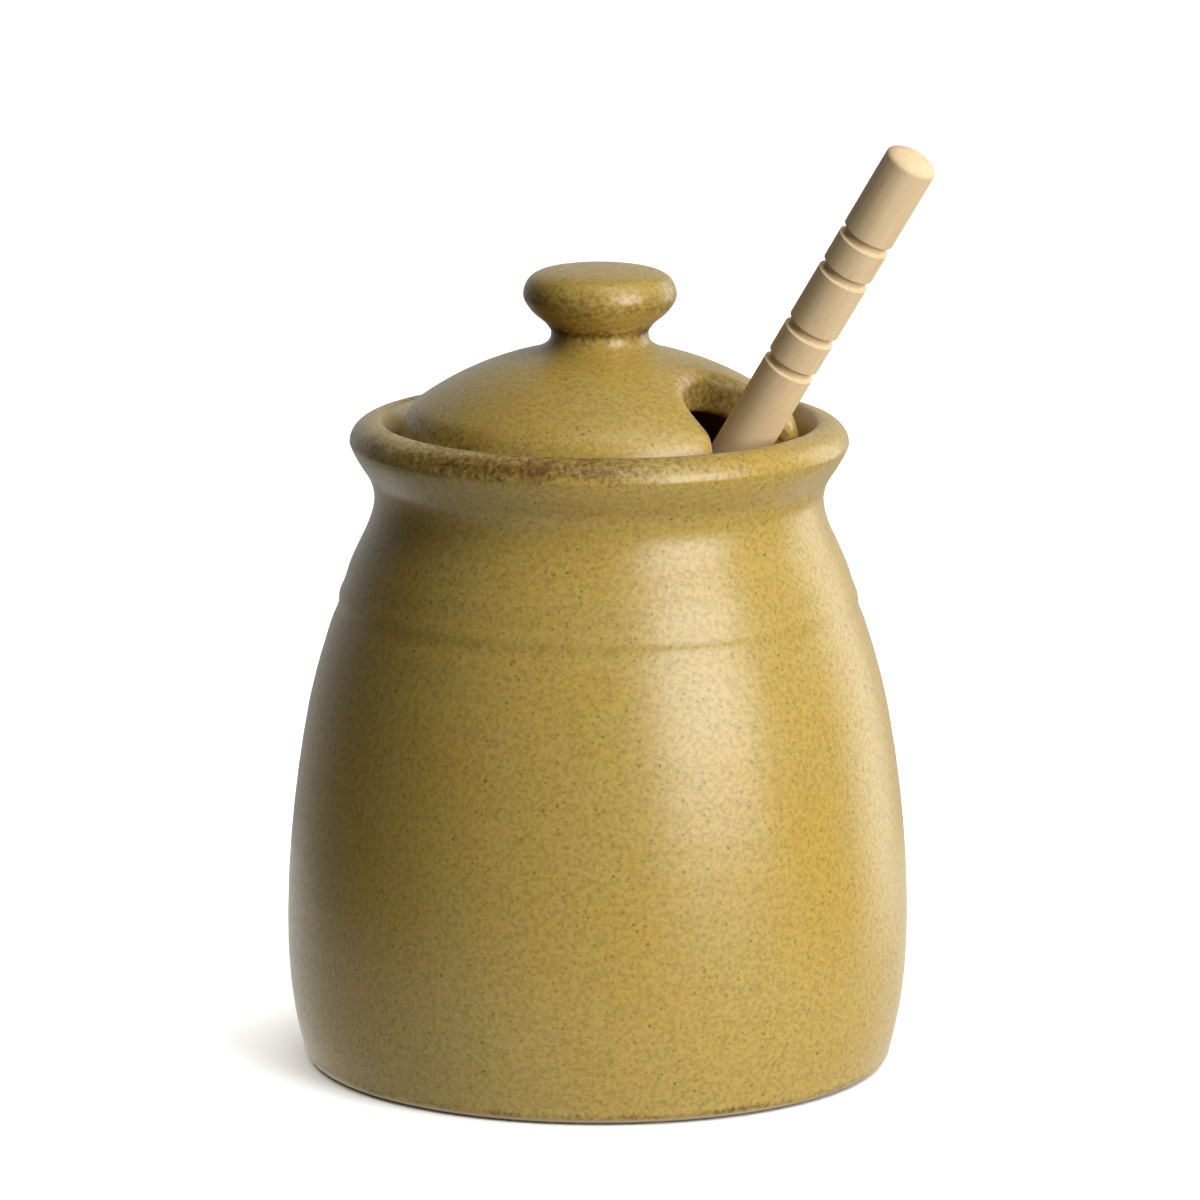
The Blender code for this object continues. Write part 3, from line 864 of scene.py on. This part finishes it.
grain = add(
    beech,
    "Math",
    {0: fleck_share.outputs["Result"], 1: -FLECK_PIT, 2: growth.outputs["Fac"]},
    operation="MULTIPLY_ADD",
)
grain_relief = add(
    beech,
    "Bump",
    {"Height": grain.outputs[0], "Strength": GRAIN_STRENGTH, "Distance": GRAIN_DEPTH},
)
beech.node_tree.links.new(flecked.outputs["Result"], shader.inputs["Base Color"])
beech.node_tree.links.new(grain_relief.outputs["Normal"], shader.inputs["Normal"])
shader.inputs["Roughness"].default_value = SANDED_ROUGHNESS
shader.inputs["IOR"].default_value = BEECH_IOR
dipper.data.materials.append(beech)
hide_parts("dipper")
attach(dipper, "dipper")


# A white matt table in a dim studio with a bright paper sweep behind. A large softbox stands to the right
# of the camera, with weaker panels behind the pot and overhead, and a lamp that lights the table alone. The
# light that the table would throw back at the pot comes from a faint panel that lies on it.
TABLE_WHITE = "#F6F5F3"
TABLE_ROUGHNESS = 0.9
TABLE_REACH = 6
TABLE_CLEARANCE = 0.0001
STUDIO_WHITE = "#FFFFFF"
STUDIO_DIM = 0.03
SWEEP_BRIGHT = 0.63

table_mesh = bpy.data.meshes.new("table_top")
flat = bmesh.new()
bmesh.ops.create_grid(flat, x_segments=1, y_segments=1, size=TABLE_REACH)
flat.to_mesh(table_mesh)
flat.free()
table_top = bpy.data.objects.new("table_top", table_mesh)
table_top.location = (0, 0, jar_low.z - TABLE_CLEARANCE)
table_top.visible_diffuse = False
table_top.visible_glossy = False
table_only = bpy.data.collections.new("table_only")
bpy.context.scene.collection.children.link(table_only)
table_only.objects.link(table_top)
matt_white, shader = bare_material("matt_white_table")
shader.inputs["Base Color"].default_value = linear(TABLE_WHITE)
shader.inputs["Roughness"].default_value = TABLE_ROUGHNESS
table_mesh.materials.append(matt_white)

studio = bpy.data.worlds.new("dim_studio")
studio.use_nodes = True
direction = add(studio, "TexCoord").outputs["Generated"]
behind = add(studio, "SeparateXYZ", {"Vector": direction}).outputs["Y"]
sweep = add(
    studio,
    "MapRange",
    {"Value": behind, "From Min": 0.4, "From Max": 0.95, "To Min": STUDIO_DIM, "To Max": SWEEP_BRIGHT},
)
background = studio.node_tree.nodes["Background"]
background.inputs["Color"].default_value = linear(STUDIO_WHITE)
studio.node_tree.links.new(sweep.outputs["Result"], background.inputs["Strength"])
bpy.context.scene.world = studio
bpy.context.scene.view_settings.view_transform = "Standard"


def panel_light(name, width, height, power):
    """A flat light that lies at the origin and faces down."""
    data = bpy.data.lights.new(name, "AREA")
    data.shape = "RECTANGLE"
    data.size = width
    data.size_y = height
    data.energy = power
    panel = bpy.data.objects.new(name, data)
    bpy.context.collection.objects.link(panel)
    return panel


def aim(panel, azimuth, elevation, distance):
    """Set a light up to face the pot. Azimuth 0 is behind the camera and grows to its right."""
    swing = math.radians(azimuth)
    rise = math.radians(elevation)
    level = math.cos(rise)
    direction = Vector((math.sin(swing) * level, -math.cos(swing) * level, math.sin(rise)))
    panel.location = direction * distance + LOOK_AT
    panel.rotation_euler = direction.to_track_quat("Z", "Y").to_euler()


key_softbox = panel_light("key_softbox", width=0.70, height=0.74, power=10.7)
aim(key_softbox, azimuth=45, elevation=19, distance=1.0)
right_panel = panel_light("right_panel", width=0.5, height=0.8, power=2.5)
aim(right_panel, azimuth=126, elevation=10, distance=0.9)
ceiling_panel = panel_light("ceiling_panel", width=0.9, height=0.9, power=4.4)
aim(ceiling_panel, azimuth=55, elevation=66, distance=1.1)
table_lamp = panel_light("table_lamp", width=6.0, height=6.0, power=240)
aim(table_lamp, azimuth=0, elevation=89, distance=3.0)
table_lamp.light_linking.receiver_collection = table_only
table_glow = panel_light("table_glow", width=0.34, height=0.34, power=0.17)
table_glow.rotation_euler = (math.pi, 0, 0)
table_glow.visible_camera = False
